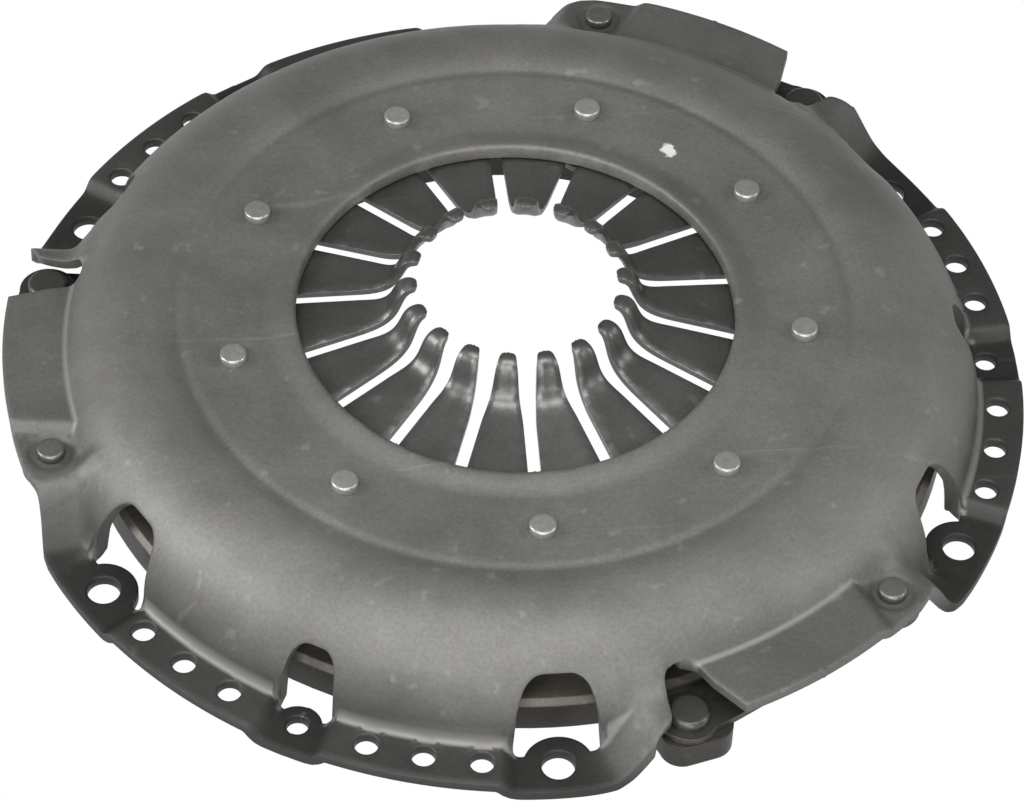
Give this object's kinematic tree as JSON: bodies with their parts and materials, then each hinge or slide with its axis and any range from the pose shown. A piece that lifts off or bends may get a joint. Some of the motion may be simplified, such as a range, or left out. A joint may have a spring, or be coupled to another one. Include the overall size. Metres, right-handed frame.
{
  "type": "clutch pressure plate",
  "caption": "Diaphragm spring clutch cover assembly: a stamped steel dome with a stepped bolting flange, inward spring fingers and a cast friction ring on drive straps.",
  "frame": {"origin": "centre of the mounting plane, where the undersides of the bolt pads meet the flywheel", "axes": "+Z along the clutch axis, from the flywheel to the gearbox; +X through the first dowel hole"},
  "size_m": [0.2857, 0.2874, 0.0476],
  "materials": {
    "pressed_steel": "phosphated, satin",
    "cast_iron": "as cast, with turned faces",
    "spring_steel": "dark, shot peened",
    "wire_steel": "drawn wire",
    "strap_steel": "blued strip",
    "rivet_steel": "plain"
  },
  "bodies": {
    "cover": {"cover": "pressed_steel", "diaphragm_spring": "spring_steel", "upper_fulcrum_ring": "wire_steel", "lower_fulcrum_ring": "wire_steel", "spacer_rivets": "rivet_steel", "drive_strap_1_upper": "strap_steel", "drive_strap_1_middle": "strap_steel", "drive_strap_1_lower": "strap_steel", "drive_strap_2_upper": "strap_steel", "drive_strap_2_middle": "strap_steel", "drive_strap_2_lower": "strap_steel", "drive_strap_3_upper": "strap_steel", "drive_strap_3_middle": "strap_steel", "drive_strap_3_lower": "strap_steel", "cover_strap_rivet_1": "rivet_steel", "cover_strap_rivet_2": "rivet_steel", "cover_strap_rivet_3": "rivet_steel"},
    "plate": {"pressure_plate": "cast_iron", "plate_strap_rivet_1": "rivet_steel", "plate_strap_rivet_2": "rivet_steel", "plate_strap_rivet_3": "rivet_steel"}
  },
  "joints": [
    {"name": "plate_slide", "type": "slide", "parent": "cover", "child": "plate", "axis": [0, 0, 1], "range_m": [0, 0.005], "deforming": ["diaphragm_spring", "drive_strap_1_upper", "drive_strap_1_middle", "drive_strap_1_lower", "drive_strap_2_upper", "drive_strap_2_middle", "drive_strap_2_lower", "drive_strap_3_upper", "drive_strap_3_middle", "drive_strap_3_lower"]}
  ]
}
